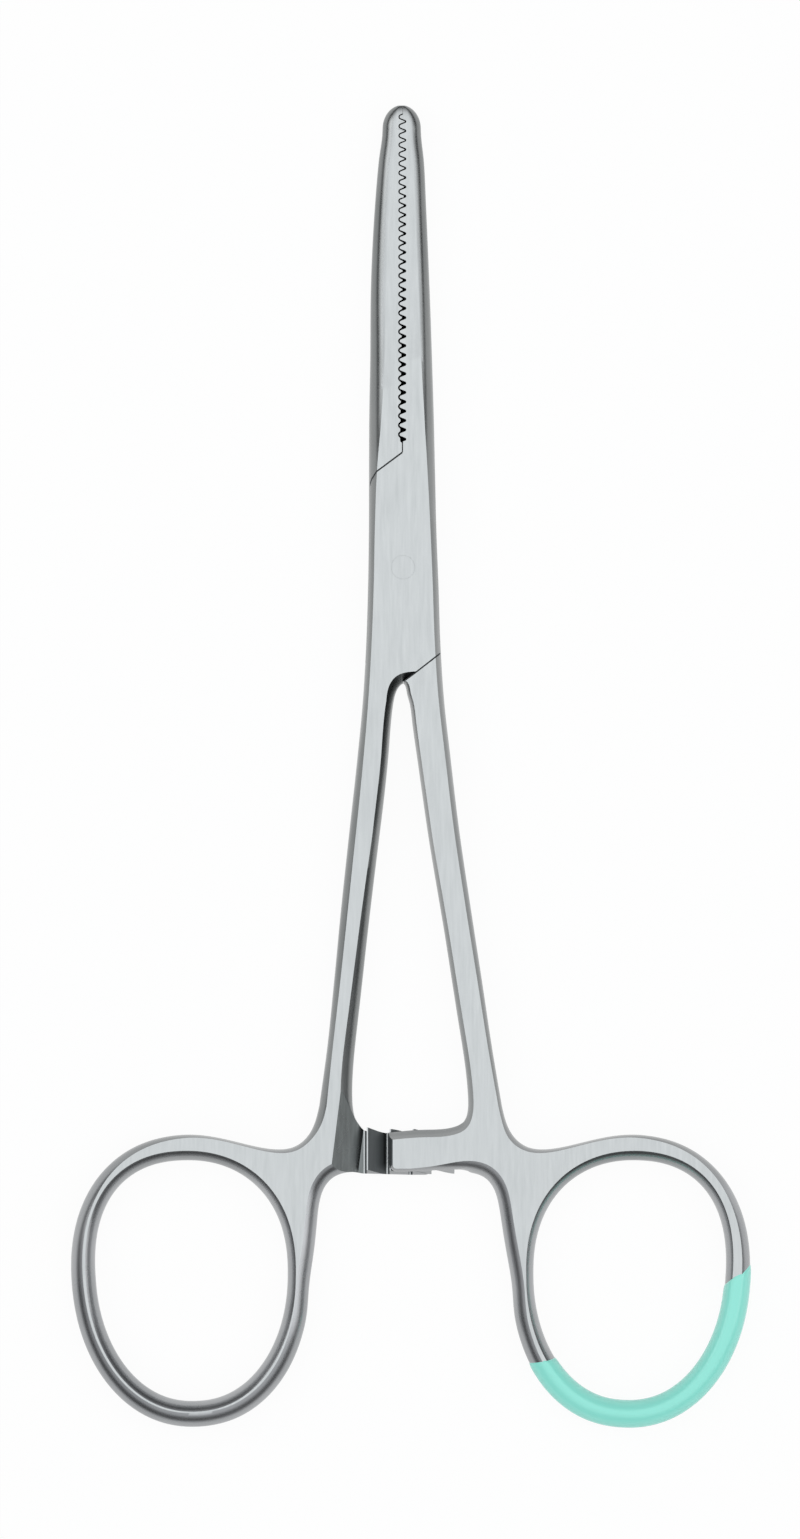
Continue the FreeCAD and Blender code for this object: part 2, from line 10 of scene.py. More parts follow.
import bmesh
import bpy
import numpy as np
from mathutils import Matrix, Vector


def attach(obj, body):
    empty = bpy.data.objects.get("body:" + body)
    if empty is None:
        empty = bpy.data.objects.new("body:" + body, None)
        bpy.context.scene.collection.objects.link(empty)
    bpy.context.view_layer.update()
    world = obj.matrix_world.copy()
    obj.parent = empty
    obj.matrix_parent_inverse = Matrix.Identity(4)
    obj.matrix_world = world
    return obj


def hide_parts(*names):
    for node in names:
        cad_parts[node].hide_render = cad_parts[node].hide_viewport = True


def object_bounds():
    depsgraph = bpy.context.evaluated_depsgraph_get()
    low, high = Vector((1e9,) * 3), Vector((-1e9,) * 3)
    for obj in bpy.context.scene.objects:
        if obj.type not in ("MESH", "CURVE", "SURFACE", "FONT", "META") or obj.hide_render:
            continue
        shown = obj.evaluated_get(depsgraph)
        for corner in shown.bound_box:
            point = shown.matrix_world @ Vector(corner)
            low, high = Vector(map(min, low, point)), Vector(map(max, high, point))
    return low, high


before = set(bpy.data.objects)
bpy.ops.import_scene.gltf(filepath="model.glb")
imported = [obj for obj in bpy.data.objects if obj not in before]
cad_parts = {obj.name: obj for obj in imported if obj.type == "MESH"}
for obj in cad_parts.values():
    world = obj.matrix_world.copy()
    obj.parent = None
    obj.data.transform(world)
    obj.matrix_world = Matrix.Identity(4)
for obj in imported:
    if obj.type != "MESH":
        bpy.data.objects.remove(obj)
cad_low, cad_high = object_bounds()
MM = 0.001
print("The packed parts reach from", [round(v / MM, 1) for v in cad_low], "to",
      [round(v / MM, 1) for v in cad_high], "mm")

# %% [markdown]
# ## The camera
# The instrument was photographed from straight above with a long lens, so there is almost no
# perspective. We hang the camera high over a point between the box lock and the rings, and choose
# the lens so that the tall picture just takes in the height that the photograph shows.

# %% The camera over the table
VIEW_CENTRE = (-0.32 * MM, -21.4 * MM)
VIEW_HEIGHT = 162.9 * MM      # how much of the table the long side of the picture takes in
CAMERA_HEIGHT = 1.3
FLATS_HEIGHT = 4 * MM         # about how high the ground flats lie
SENSOR = 36.0

camera_data = bpy.data.cameras.new("camera")
camera_data.sensor_width = SENSOR
camera_data.lens = SENSOR * (CAMERA_HEIGHT - FLATS_HEIGHT) / VIEW_HEIGHT
camera = bpy.data.objects.new("camera", camera_data)
camera.location = (*VIEW_CENTRE, CAMERA_HEIGHT)
bpy.context.scene.collection.objects.link(camera)
bpy.context.scene.camera = camera
print("The lens is", round(camera_data.lens), "mm long")

# %% [markdown]
# ## Light for polished steel
# Steel has no colour of its own to speak of: it shows the room. A flat that faces the camera shows
# what hangs beside the camera, so the ceiling is bright. A dark band runs round the room below it,
# and the rounded sides turn dark just where they leave the flat. Lower on its side the steel shows
# the pale walls and the table, and it lightens again.

# %% A room with a dark band below a bright ceiling
ROOM_STRENGTH = 1.12

world = bpy.data.worlds.new("studio")
bpy.context.scene.world = world
world.use_nodes = True
nodes, links = world.node_tree.nodes, world.node_tree.links
nodes.clear()
direction = nodes.new("ShaderNodeTexCoord")
height = nodes.new("ShaderNodeSeparateXYZ")
links.new(direction.outputs["Generated"], height.inputs[0])
ramp = nodes.new("ShaderNodeValToRGB")
ramp.color_ramp.interpolation = "EASE"
ramp.color_ramp.elements[0].position = 0.0
ramp.color_ramp.elements[0].color = (0.60, 0.61, 0.62, 1)
ramp.color_ramp.elements[1].position = 1.0
ramp.color_ramp.elements[1].color = (0.94, 0.96, 0.97, 1)
for place, level in ((0.08, 0.42), (0.20, 0.04), (0.42, 0.08), (0.57, 0.86), (0.75, 0.97)):
    stop = ramp.color_ramp.elements.new(place)
    stop.color = (level, level * 1.01, level * 1.03, 1)
links.new(height.outputs["Z"], ramp.inputs[0])
background = nodes.new("ShaderNodeBackground")
background.inputs["Strength"].default_value = ROOM_STRENGTH
links.new(ramp.outputs[0], background.inputs["Color"])
world_out = nodes.new("ShaderNodeOutputWorld")
links.new(background.outputs[0], world_out.inputs["Surface"])
bpy.context.scene.view_settings.view_transform = "Standard"


# %% Soft boxes
LAMP_AIM = (0, -0.02, 0)


def soft_box(name, place, size, watts):
    """A square area lamp at a place, turned to look at the middle of the instrument."""
    data = bpy.data.lights.new(name, "AREA")
    data.size = size
    data.energy = watts
    lamp = bpy.data.objects.new(name, data)
    lamp.location = place
    towards = np.array(LAMP_AIM) - np.array(place)
    lamp.rotation_euler = Vector(towards).to_track_quat("-Z", "Y").to_euler()
    bpy.context.scene.collection.objects.link(lamp)
    print("The", name, "gives", watts, "watts")


soft_box("overhead box", (0.0, 0.10, 0.85), 0.50, 0.12)
soft_box("left box", (-0.75, 0.25, 0.55), 0.45, 0.9)
soft_box("right box", (0.75, -0.10, 0.45), 0.45, 0.7)

# %% [markdown]
# ## The table
# The photograph has a plain white ground. A large pale sheet lies under the instrument. It is a
# matt white, and for the camera, metal and glass most of its brightness is its own, so the ground
# stays even while a soft shadow still shows where the steel stands close to it.

# %% A pale sheet to stand on
TABLE_REACH, TABLE_GAP = 3.0, 0.02 * MM
GLOW_SHARE = 0.94


def pale_sheet_material():
    """A matt white, and over it an even glow that only the camera, metal and glass see."""
    material = bpy.data.materials.new("pale sheet")
    material.use_nodes = True
    nodes, links = material.node_tree.nodes, material.node_tree.links
    matt = nodes["Principled BSDF"]
    matt.inputs["Base Color"].default_value = (0.90, 0.905, 0.90, 1)
    matt.inputs["Roughness"].default_value = 0.9
    matt.inputs["Specular IOR Level"].default_value = 0.1
    glow = nodes.new("ShaderNodeEmission")
    glow.inputs["Color"].default_value = (1.0, 1.0, 1.0, 1)
    glow.inputs["Strength"].default_value = 1.0
    path = nodes.new("ShaderNodeLightPath")
    either = path.outputs["Is Camera Ray"]
    for kind in ("Is Glossy Ray", "Is Transmission Ray"):
        larger = nodes.new("ShaderNodeMath")
        larger.operation = "MAXIMUM"
        links.new(either, larger.inputs[0])
        links.new(path.outputs[kind], larger.inputs[1])
        either = larger.outputs[0]
    seen = nodes.new("ShaderNodeMath")
    seen.operation = "MULTIPLY"
    seen.inputs[1].default_value = GLOW_SHARE
    links.new(either, seen.inputs[0])
    mix = nodes.new("ShaderNodeMixShader")
    links.new(seen.outputs[0], mix.inputs[0])
    links.new(matt.outputs[0], mix.inputs[1])
    links.new(glow.outputs[0], mix.inputs[2])
    links.new(mix.outputs[0], nodes["Material Output"].inputs["Surface"])
    return material


sheet_mesh = bpy.data.meshes.new("pale_sheet")
corners = TABLE_REACH * np.array([(-1, -1, 0), (1, -1, 0), (1, 1, 0), (-1, 1, 0)], float)
corners[:, 2] = cad_low.z - TABLE_GAP
sheet_mesh.from_pydata(corners.tolist(), [], [(0, 1, 2, 3)])
sheet = bpy.data.objects.new("pale_sheet", sheet_mesh)
sheet.data.materials.append(pale_sheet_material())
bpy.context.scene.collection.objects.link(sheet)
print("The sheet is", 2 * TABLE_REACH, "m wide")

# %% [markdown]
# ## Surfaces from formulas
# Each half is one forging with a rounded outside. Real forgings are made oversize in closed dies
# and then milled and ground, and we do the same: numpy works out rounded blanks and the cutters as
# closed skins, and Boolean modifiers join and cut them. A blank is a stack of rings of points, so
# one small function can turn any of them into a mesh. We work in millimetres about the middle
# plane, z = 0, and change to metres at the very end.

# %% Main sizes, in millimetres
JAW_REACH, SHANK_REACH = 49.0, 57.0
BOX_THICKNESS, SHANK_THICKNESS = 4.6, 3.5
GRINDING_STOCK = 0.05
TAPER_TOP, TAPER_BOTTOM = -10.0, -40.0
SIDE_TURN = 60.0
PAST_ALL = 120.0


def flat_height(y):
    """Half the thickness between the flats: two parabolas lead down from the box to the shanks."""
    share = np.clip((TAPER_TOP - y) / (TAPER_TOP - TAPER_BOTTOM), 0.0, 1.0)
    fall = np.where(share < 0.5, 2 * share ** 2, 1 - 2 * (1 - share) ** 2)
    return (BOX_THICKNESS - fall * (BOX_THICKNESS - SHANK_THICKNESS)) / 2


# %% Skins over rings of points
def closed_skin(name, rings, cut=(0, 0, 0, 0)):
    """Quads join each ring of points to the next, and a cap closes the stack at either end.

    rings is an array of (rings, points in a ring, x y z). Each face stores a colour for the faces
    that a cutter makes: painted shade in the gaps and the ratchet's recesses, and the milled
    slope's own tone. Its last number is the share of it that shows, 0 on the forged outside.
    """
    rows, around = rings.shape[:2]
    index = np.arange(rows * around).reshape(rows, around)
    here, there = index[:-1], index[1:]
    quads = np.stack([here, np.roll(here, -1, 1), np.roll(there, -1, 1), there], -1)
    faces = quads.reshape(-1, 4).tolist() + [index[0, ::-1].tolist(), index[-1].tolist()]
    mesh = bpy.data.meshes.new(name)
    mesh.from_pydata(rings.reshape(-1, 3).tolist(), [], faces)
    build = bmesh.new()
    build.from_mesh(mesh)
    bmesh.ops.recalc_face_normals(build, faces=build.faces)
    build.to_mesh(mesh)
    build.free()
    cut_colours = mesh.attributes.new("cut", "FLOAT_COLOR", "FACE")
    cut_colours.data.foreach_set("color", np.broadcast_to(cut, (len(faces), 4)).astype(float).ravel())
    skin = bpy.data.objects.new(name, mesh)
    bpy.context.scene.collection.objects.link(skin)
    return skin


def straight_prism(name, outline, low, high, cut=(0, 0, 0, 0)):
    """The same plan outline, an array of (points, x y), at two heights."""
    levels = [np.column_stack([outline, np.full(len(outline), z)]) for z in (low, high)]
    return closed_skin(name, np.array(levels), cut)


def round_bar(name, radius, low, high, cut=(0, 0, 0, 0), sides=128):
    """A prism over a circle about the pivot."""
    turn = np.linspace(0, 2 * np.pi, sides, endpoint=False)
    circle = radius * np.column_stack([np.cos(turn), np.sin(turn)])
    return straight_prism(name, circle, low, high, cut)


# %% Joining and cutting
def combine(base, how, *tools):
    """UNION, DIFFERENCE or INTERSECT a closed skin with others, which are used up."""
    for tool in tools:
        step = base.modifiers.new(how, "BOOLEAN")
        step.operation = how
        step.object = tool
        step.solver = "MANIFOLD"
        bpy.context.view_layer.update()
        result = base.evaluated_get(bpy.context.evaluated_depsgraph_get())
        mesh = bpy.data.meshes.new_from_object(result)
        base.modifiers.clear()
        base.data = mesh
        bpy.data.objects.remove(tool)
    return base


# %% Smooth curves through a few rows
def hermite(places, rows, slopes, at):
    """Cubic pieces between rows, each leaving and arriving with the slopes that are given."""
    i = np.clip(np.searchsorted(places, at, side="right") - 1, 0, len(places) - 2)
    step = (places[i + 1] - places[i])[:, None]
    t = (at - places[i])[:, None] / step
    return ((1 + 2 * t) * (1 - t) ** 2 * rows[i] + t * (1 - t) ** 2 * step * slopes[i]
            + t ** 2 * (3 - 2 * t) * rows[i + 1] + t ** 2 * (t - 1) * step * slopes[i + 1])


def spline_through(rows, count):
    """A natural cubic spline through rows that start with x and y, by distance along the rows.

    Its slopes solve the linear system in which neighbouring pieces share their curvature.
    """
    step = np.hypot(*np.diff(rows[:, :2], axis=0).T)
    places = np.concatenate([[0.0], np.cumsum(step)])
    size = len(rows)
    inner = np.arange(1, size - 1)
    system = np.zeros((size, size))
    system[0, :2] = 2, 1
    system[-1, -2:] = 1, 2
    system[inner, inner - 1] = 1 / step[:-1]
    system[inner, inner] = 2 / step[:-1] + 2 / step[1:]
    system[inner, inner + 1] = 1 / step[1:]
    rise = np.diff(rows, axis=0) / step[:, None]
    target = np.zeros_like(rows)
    target[0], target[-1] = 3 * rise[0], 3 * rise[-1]
    target[1:-1] = 3 * (rise[:-1] / step[:-1, None] + rise[1:] / step[1:, None])
    slopes = np.linalg.solve(system, target)
    return hermite(places, rows, slopes, np.linspace(0, places[-1], count))


def left_of(curve):
    """Unit vectors that point to the left of a plan curve as it runs."""
    along = np.gradient(curve[:, :2], axis=0)
    along /= np.hypot(along[:, 0], along[:, 1])[:, None]
    return np.column_stack([-along[:, 1], along[:, 0]])


# %% How a rounded side rises
SIDE_ROWS = 9


def side_shares(turn, top):
    """Shares of the bevel and of the height up a rounded side, an arc that turns by turn degrees
    each way from the middle plane and stops where the ground flat cuts it, at the share top."""
    turn = np.radians(np.asarray(turn, float))[..., None]
    last = np.arcsin(np.minimum(np.asarray(top)[..., None], 1.0) * np.sin(turn))
    angle = last * np.linspace(-1, 1, 2 * SIDE_ROWS + 1)
    return (1 - np.cos(angle)) / (1 - np.cos(turn)), np.sin(angle) / np.sin(turn)


# %% [markdown]
# ## The blank for jaws, box and shanks
# Closed, the two halves share one smooth outside from the tips to the rings. We describe it with a
# few sections: left and right edge, height, how far each side's bevel reaches in, and how far its
# arc turns. Cubic curves carry these numbers between the sections, and a quarter ellipse closes
# the tips.

# %% Sections of the blank
# Rows: y, left edge, right edge, half height, left bevel, right bevel, turn of the sides
JAW_SECTIONS = np.array([
    (46.50, -2.17, 1.89, 1.35, 1.40, 1.20, 86), (43.02, -2.58, 2.22, 1.46, 1.50, 1.20, 86),
    (38.02, -3.00, 2.46, 1.63, 1.60, 1.20, 86), (29.99, -3.40, 2.80, 1.88, 1.65, 1.20, 84),
    (22.00, -3.48, 3.08, 2.12, 1.55, 1.15, 76), (16.02, -3.58, 3.26, 2.27, 1.30, 1.00, 68),
    (10.00, -3.61, 3.40, 2.35, 0.90, 0.85, 62), (4.02, -3.62, 3.54, 2.35, 0.68, 0.68, 60)])
# Rows: y, left edge, right edge, left bevel, right bevel
SHANK_SECTIONS = np.array([
    (-2.00, -3.71, 3.77, 0.65, 0.66), (-7.98, -3.90, 3.96, 0.62, 0.64),
    (-14.02, -4.25, 4.35, 0.62, 0.62), (-20.01, -4.82, 5.02, 0.70, 0.60),
    (-27.99, -5.69, 5.98, 0.78, 0.60), (-36.02, -6.55, 7.17, 0.80, 0.58),
    (-44.00, -7.32, 8.40, 0.72, 0.53), (-51.02, -8.05, 9.46, 0.64, 0.47),
    (-57.00, -8.87, 10.47, 0.85, 0.42)])
NOSE_LENGTH, NOSE_RINGS = 2.5, 24
NOSE_ROOTS = (0.17, 0.99)     # square roots of the shares of the nose at its first and last ring
NOSE_HEIGHT = 0.45            # the share of the height that is left at the very end
RING_SPACING = 0.8
LEFT_EDGE, RIGHT_EDGE = SHANK_SECTIONS[-1, 1:3]

heights = flat_height(SHANK_SECTIONS[:, 0]) + GRINDING_STOCK
turns = np.full(len(heights), SIDE_TURN)
SECTIONS = np.vstack([JAW_SECTIONS, np.column_stack([SHANK_SECTIONS[:, :3], heights,
                                                     SHANK_SECTIONS[:, 3:], turns])])[::-1]


def blank_rings():
    """Rings from the tips to the ring ends: left side up, over the flat, right side down."""
    nose = np.linspace(*NOSE_ROOTS, NOSE_RINGS) ** 2
    below = np.arange(JAW_REACH - NOSE_LENGTH, -SHANK_REACH, -RING_SPACING)
    y = np.concatenate([JAW_REACH - NOSE_LENGTH * nose, below, [-SHANK_REACH]])
    slopes = np.gradient(SECTIONS, SECTIONS[:, 0], axis=0)
    slopes[-1, 1:] = 0.0
    read = hermite(SECTIONS[:, 0], SECTIONS, slopes, np.minimum(y, SECTIONS[-1, 0]))
    left, right, height, left_bevel, right_bevel, turn = read[:, 1:].T
    share = np.clip((JAW_REACH - y) / NOSE_LENGTH, 0, 1)
    narrow = np.sqrt(1 - (1 - share) ** 2)
    middle, half = (left + right) / 2, (right - left) / 2 * narrow
    height = height * (NOSE_HEIGHT + (1 - NOSE_HEIGHT) * narrow)
    inset, rise = side_shares(turn, flat_height(y) / height)
    y = np.broadcast_to(y[:, None], rise.shape)
    z = height[:, None] * rise
    left_x = (middle - half)[:, None] + (left_bevel * narrow)[:, None] * inset
    right_x = (middle + half)[:, None] - (right_bevel * narrow)[:, None] * inset
    return np.concatenate([np.stack([left_x, y, z], -1),
                           np.stack([right_x, y, z], -1)[:, ::-1]], 1)


# %% [markdown]
# ## The ring ends
# Below the shanks each half widens into a finger ring and an arm that carries the ratchet. The
# ring is a rounded plate over one plan outline. Its egg shape is a superellipse, wider at the top
# and a little tilted, and a spline leads from the shank over the shoulder, round the ring and into
# the arm. The side of the plate is an arc again, so each level of the stack is the outline, moved
# inwards.

# %% Sizes of the ring end, from the outer edge of the shank
RING = dict(centre=(13.65, -18.59), width=12.57, height=15.48, taper=0.040, square=2.15,
            tilt=-4.0, lean=0.0)
HOLE = dict(centre=(13.50, -18.56), width=10.15, height=12.76, taper=0.087, square=2.21,
            tilt=-1.9, lean=0.56)
# Rows: x, y, bevel
SHOULDER = np.array([(1.15, -3.15, 0.55), (2.70, -4.40, 0.45), (4.50, -4.66, 0.35),
                     (6.90, -4.32, 0.25)])
CORNER = np.array([(0.55, -15.3, 1.42), (0.22, -12.1, 1.38), (-0.05, -10.1, 1.40),
                   (-0.60, -8.6, 1.45), (-1.55, -7.6, 1.50), (-2.90, -7.12, 1.45),
                   (-4.60, -7.05, 1.25), (-7.20, -7.10, 0.80)])
CORNER_THROAT = np.array([0.3, 0.8, 1.0, 0.9, 0.7, 0.5, 0.2, 0.1])
LEFT_THROAT, RIGHT_THROAT = 0.0, 0.35
# Rows: degrees round the ring, bevel
LEFT_RING_BEVELS = np.array([(-180, 1.48), (-90, 1.70), (0, 1.40), (30, 1.20), (60, 0.75),
                             (100, 0.22)])
RIGHT_RING_BEVELS = np.array([(-180, 1.40), (-90, 1.45), (0, 1.00), (30, 0.85), (60, 0.55),
                              (100, 0.22)])
LEFT_HOLE_BEVELS = np.array([(-180, 0.95), (-90, 1.15), (0, 1.10), (90, 1.15), (180, 0.95)])
RIGHT_HOLE_BEVELS = np.array([(-180, 0.85), (-90, 1.10), (0, 0.75), (90, 1.15), (180, 0.85)])
ARM_REACH, ARM_TOP, ARM_BOTTOM = 12.07, 2.5, 7.15
ARM_BEVEL, ARM_CORNER, ARM_STOCK = 0.55, 0.9, 0.8
SHANK_WIDTH_AT_ARM = 3.55
START_LENGTH = 1.6            # over it the bevel turns from square to the shank to its own way
OUTLINE_POINTS, CORNER_POINTS = 340, 12


def egg(degrees, centre, width, height, taper, square, tilt, lean):
    """A superellipse: powers of cosine and sine, widened and leaned with height, then turned."""
    c, s = np.cos(np.radians(degrees)), np.sin(np.radians(degrees))
    x = width * np.sign(c) * np.abs(c) ** (2 / square) * (1 + taper * s)
    x = x + lean * np.maximum(s, 0) ** 2
    y = height * np.sign(s) * np.abs(s) ** (2 / square)
    turn = np.radians(tilt)
    return np.column_stack([centre[0] + x * np.cos(turn) - y * np.sin(turn),
                            centre[1] + x * np.sin(turn) + y * np.cos(turn)])


def ring_end_rings(shank_bevel, throat, bevels):
    """Levels of the ring end: a spline round the ring, then the arm with its two corners."""
    degrees = np.arange(105, -176, -10)
    ring = np.column_stack([egg(degrees, **RING), np.interp(degrees, *bevels.T)])
    start = np.array([(0, 0, shank_bevel), (0.40, -START_LENGTH, 0.8 * shank_bevel + 0.1)])
    corner = CORNER - throat * CORNER_THROAT[:, None] * (1, 1 / 3, 0)
    arm = np.array([(-0.8 * ARM_REACH, -ARM_BOTTOM, ARM_BEVEL)])
    curve = spline_through(np.vstack([start, SHOULDER, ring, corner, arm]), OUTLINE_POINTS)
    inwards = -left_of(curve)
    at_start = np.clip(1 + curve[:, 1] / START_LENGTH, 0, 1)[:, None] * (curve[:, :1] < 1)
    inwards = inwards * (1 - at_start) + np.array([(-1.0, 0.0)]) * at_start

    share, rise = side_shares(SIDE_TURN, SHANK_THICKNESS / (SHANK_THICKNESS + 2 * GRINDING_STOCK))
    share = share[:, None, None]
    z = (SHANK_THICKNESS / 2 + GRINDING_STOCK) * rise
    outline = curve[:, :2] + inwards * curve[:, 2:] * share
    radius = ARM_CORNER - ARM_BEVEL * share
    turn = np.linspace(0, np.pi / 2, CORNER_POINTS)
    sine, cosine = np.sin(turn), np.cos(turn)
    side_x = -ARM_REACH + ARM_CORNER
    low_y, high_y = -ARM_BOTTOM + ARM_CORNER, -ARM_TOP + ARM_STOCK - ARM_CORNER
    low = np.array((side_x, low_y)) + radius * np.column_stack([-sine, -cosine])
    high = np.array((side_x, high_y)) + radius * np.column_stack([-cosine, sine])
    inner = np.full((len(z), 2, 2), -SHANK_WIDTH_AT_ARM - ARM_STOCK)
    inner[:, 0, 1] = high_y + radius[:, 0, 0]
    inner[:, 1, 1] = 0.0
    plan = np.concatenate([outline, low, high, inner], 1)
    return np.concatenate([plan, np.broadcast_to(z[:, None, None], plan.shape[:2] + (1,))], 2)


def hole_rings(bevels):
    """Levels of the finger hole, which widens towards both flats."""
    degrees = np.arange(-180, 180, 2)
    plan = egg(degrees, **HOLE)
    along = np.roll(plan, -1, 0) - np.roll(plan, 1, 0)
    along /= np.hypot(along[:, 0], along[:, 1])[:, None]
    outwards = np.column_stack([along[:, 1], -along[:, 0]])
    share, rise = side_shares(SIDE_TURN, 1.0)
    bevel = np.interp(degrees, *bevels.T)[:, None]
    levels = plan + bevel * share[:, None, None] * outwards
    z = (SHANK_THICKNESS / 2 + GRINDING_STOCK) * rise
    return np.concatenate([levels, np.broadcast_to(z[:, None, None], levels.shape[:2] + (1,))], 2)


def on_left(rings):
    """From the ring end's own place to the left shank."""
    return rings * (-1, 1, 1) + (LEFT_EDGE, -SHANK_REACH, 0)


def on_right(rings):
    """To the right shank, turned over so that its ratchet faces down."""
    return rings * (1, 1, -1) + (RIGHT_EDGE, -SHANK_REACH, 0)


# %% [markdown]
# ## Cutters
# The ratchet is milled across each arm: three ramps, each with a steep face that locks against its
# twin on the other arm, and beside them a slope that rises to the flat. The space between the
# shanks is a cutter too, slightly waisted, so the inner edges of the shanks come out rounded.

# %% The ratchet and its slope
TOOTH_COUNT, TOOTH_PITCH, TOOTH_HEIGHT, TOOTH_CLEARANCE = 3, 2.43, 0.70, 0.10
LAST_TOOTH, CREST_WIDTH = 9.88, 0.14
MILLED_SLOPE_RUN, MILLED_SLOPE_TOP, MILLED_FOOT_GAP = 2.9, 8.0, 0.35
LEFT_SLOPE_ANGLE, RIGHT_SLOPE_ANGLE = 7.0, 12.8
# From each steep face a strip of painted shadow reaches to the first of these, and a strip of
# plain steel to the second
TOOTH_SHADOW_STRIP, TOOTH_FLOOR = 0.20, 0.33
# The teeth's colour is painted shade in the ratchet's recess, and the slope's is its milled tone
TOOTH_SHADE_COLOUR, SLOPE_COLOUR = (0.075, 0.082, 0.084, 1), (0.23, 0.25, 0.25, 1)
TOOTH_POINTS = 5
FIRST_CREST, FIRST_STRIP = 3, 6       # the faces of the first tooth that keep the plain steel, outside the painted shade


def ratchet_cutters(slope_angle, place):
    """A saw-tooth profile along the arm's width, and a wedge whose foot leans along the shank."""
    crest = (TOOTH_HEIGHT - TOOTH_CLEARANCE) / 2
    root, top = crest - TOOTH_HEIGHT, SHANK_THICKNESS
    steep = -LAST_TOOTH + TOOTH_PITCH * np.arange(TOOTH_COUNT)
    start = [(-ARM_REACH - 1, top), (-ARM_REACH - 1, root)]
    beside = np.tile([-CREST_WIDTH, 0, 0, TOOTH_SHADOW_STRIP, TOOTH_FLOOR], TOOTH_COUNT)
    ramps = np.column_stack([np.repeat(steep, TOOTH_POINTS) + beside,
                             np.tile([crest, crest, root, root, root], TOOTH_COUNT)])
    teeth = np.vstack([start, [(steep[0] - TOOTH_PITCH, root)], ramps])
    run = MILLED_SLOPE_RUN * (top - root) / (SHANK_THICKNESS / 2 - root)

    def ring(y, profile):
        foot = steep[-1] + MILLED_FOOT_GAP - np.tan(np.radians(slope_angle)) * (y + ARM_TOP)
        profile = np.vstack([profile, [(foot, root), (foot + run, top)]])
        return np.column_stack([profile[:, 0], np.full(len(profile), y), profile[:, 1]])

    low, high = -(ARM_BOTTOM + 2), -ARM_TOP + 1.2 * ARM_STOCK
    cutters = []
    for a, b, shape in ((low, high, teeth), (high, MILLED_SLOPE_TOP, start)):
        colours = np.tile(TOOTH_SHADE_COLOUR, (len(shape) + 4, 1))
        for first in (FIRST_CREST, FIRST_STRIP):
            colours[first:len(shape):TOOTH_POINTS, 3] = 0.0
        colours[len(shape) - 1:len(shape) + 1] = SLOPE_COLOUR
        cutters.append(closed_skin("milling", place(np.array([ring(a, shape), ring(b, shape)])),
                                   colours))
    return cutters


# %% The space between the shanks
CROTCH, CROTCH_OVERLAP = 0.213, -0.6
LEFT_ARM_TOP_SLOPE, RIGHT_ARM_TOP_SLOPE = 0.05, 0.09
GAP_POINTS, PAST_FLAT = 260, 1.06     # past this share of the flat's height it widens no more
# Rows: share of the shank reach, half gap
LEFT_INNER = np.array([(0.233, 0.76), (0.250, 1.00), (0.284, 1.25), (0.340, 1.50), (0.507, 2.55),
                       (0.674, 3.70), (0.840, 4.76), (0.982, 5.38)])
RIGHT_INNER = np.array([(0.233, 0.40), (0.250, 0.66), (0.284, 0.95), (0.340, 1.38), (0.507, 2.75),
                        (0.674, 4.34), (0.840, 5.82), (0.982, 6.88)])
LEFT_INNER_BEVELS, RIGHT_INNER_BEVELS = (1.05, 0.78, 1.25), (0.40, 0.42, 0.56)


def gap_rings(inner, bevels, edge, arm_top_slope):
    """Levels of the space beside one shank: narrowest at mid height, wider with the square of z."""
    root = edge - SHANK_WIDTH_AT_ARM
    top = [(5 * CROTCH_OVERLAP, -CROTCH * SHANK_REACH), (CROTCH_OVERLAP, -CROTCH * SHANK_REACH),
           (-0.2 * CROTCH_OVERLAP, -(CROTCH + 0.004) * SHANK_REACH)]
    along = inner[:, ::-1] * (1, -SHANK_REACH)
    arm = [(root - 0.12, -SHANK_REACH - 0.9), (root - 0.62, -SHANK_REACH - 2.0)]
    arm += [(root - inside, -SHANK_REACH - ARM_TOP - run * arm_top_slope)
            for run, inside in ((0, 1.6), (3, 4.6), (8, 9.6))]
    curve = spline_through(np.vstack([top, along, arm]), GAP_POINTS)
    x, y = curve.T
    bevel = np.interp(y, [-SHANK_REACH - 3, -SHANK_REACH, -0.5 * SHANK_REACH, -0.25 * SHANK_REACH,
                          -CROTCH * SHANK_REACH],
                      [ARM_BEVEL, bevels[2], bevels[1], bevels[1], bevels[0]])
    z = (BOX_THICKNESS / 2 + GRINDING_STOCK) * np.linspace(-1, 1, 2 * SIDE_ROWS + 1)[:, None]
    share = np.minimum(np.abs(z) / flat_height(y), PAST_FLAT)
    sideways = left_of(curve)
    plan = curve + (bevel * share ** 2)[..., None] * sideways
    far = np.full((len(z), 2, 2), -edge)
    far[:, 0, 1], far[:, 1, 1] = plan[:, -1, 1], plan[:, 0, 1]
    plan = np.concatenate([plan, far], 1)
    return np.concatenate([plan, np.broadcast_to(z[..., None], plan.shape[:2] + (1,))], 2)


# %% [markdown]
# ## The box lock and the gripping faces
# In plan, the tenon half owns the left jaw and the right shank, and a thin disc between the cheeks
# of the box half joins them. The line between the jaws is a wave of rounded teeth, worn lower
# towards the box. Shoulders with a hairline gap meet the box above and below.

# %% Who owns what
# The faces where the halves part, along the jaw line, at the shoulders and in the box, are painted
# dark as shade
GAP_SHADE_COLOUR = (0.11, 0.115, 0.12, 1)
SHOULDER_GAP, TENON_THICKNESS, TENON_PLAY, SLOT_RADIUS = 0.16, 1.9, 0.05, 11.0
BOX_SHOULDER_TOP, BOX_SHOULDER_BOTTOM = 12.1, -11.1
SHOULDER_RISE_TOP, SHOULDER_RISE_BOTTOM = 0.74, 0.78
SHOULDER_RUN_TOP, SHOULDER_START_BOTTOM, SHOULDER_RUN_BOTTOM = 2.75, 1.25, 4.60
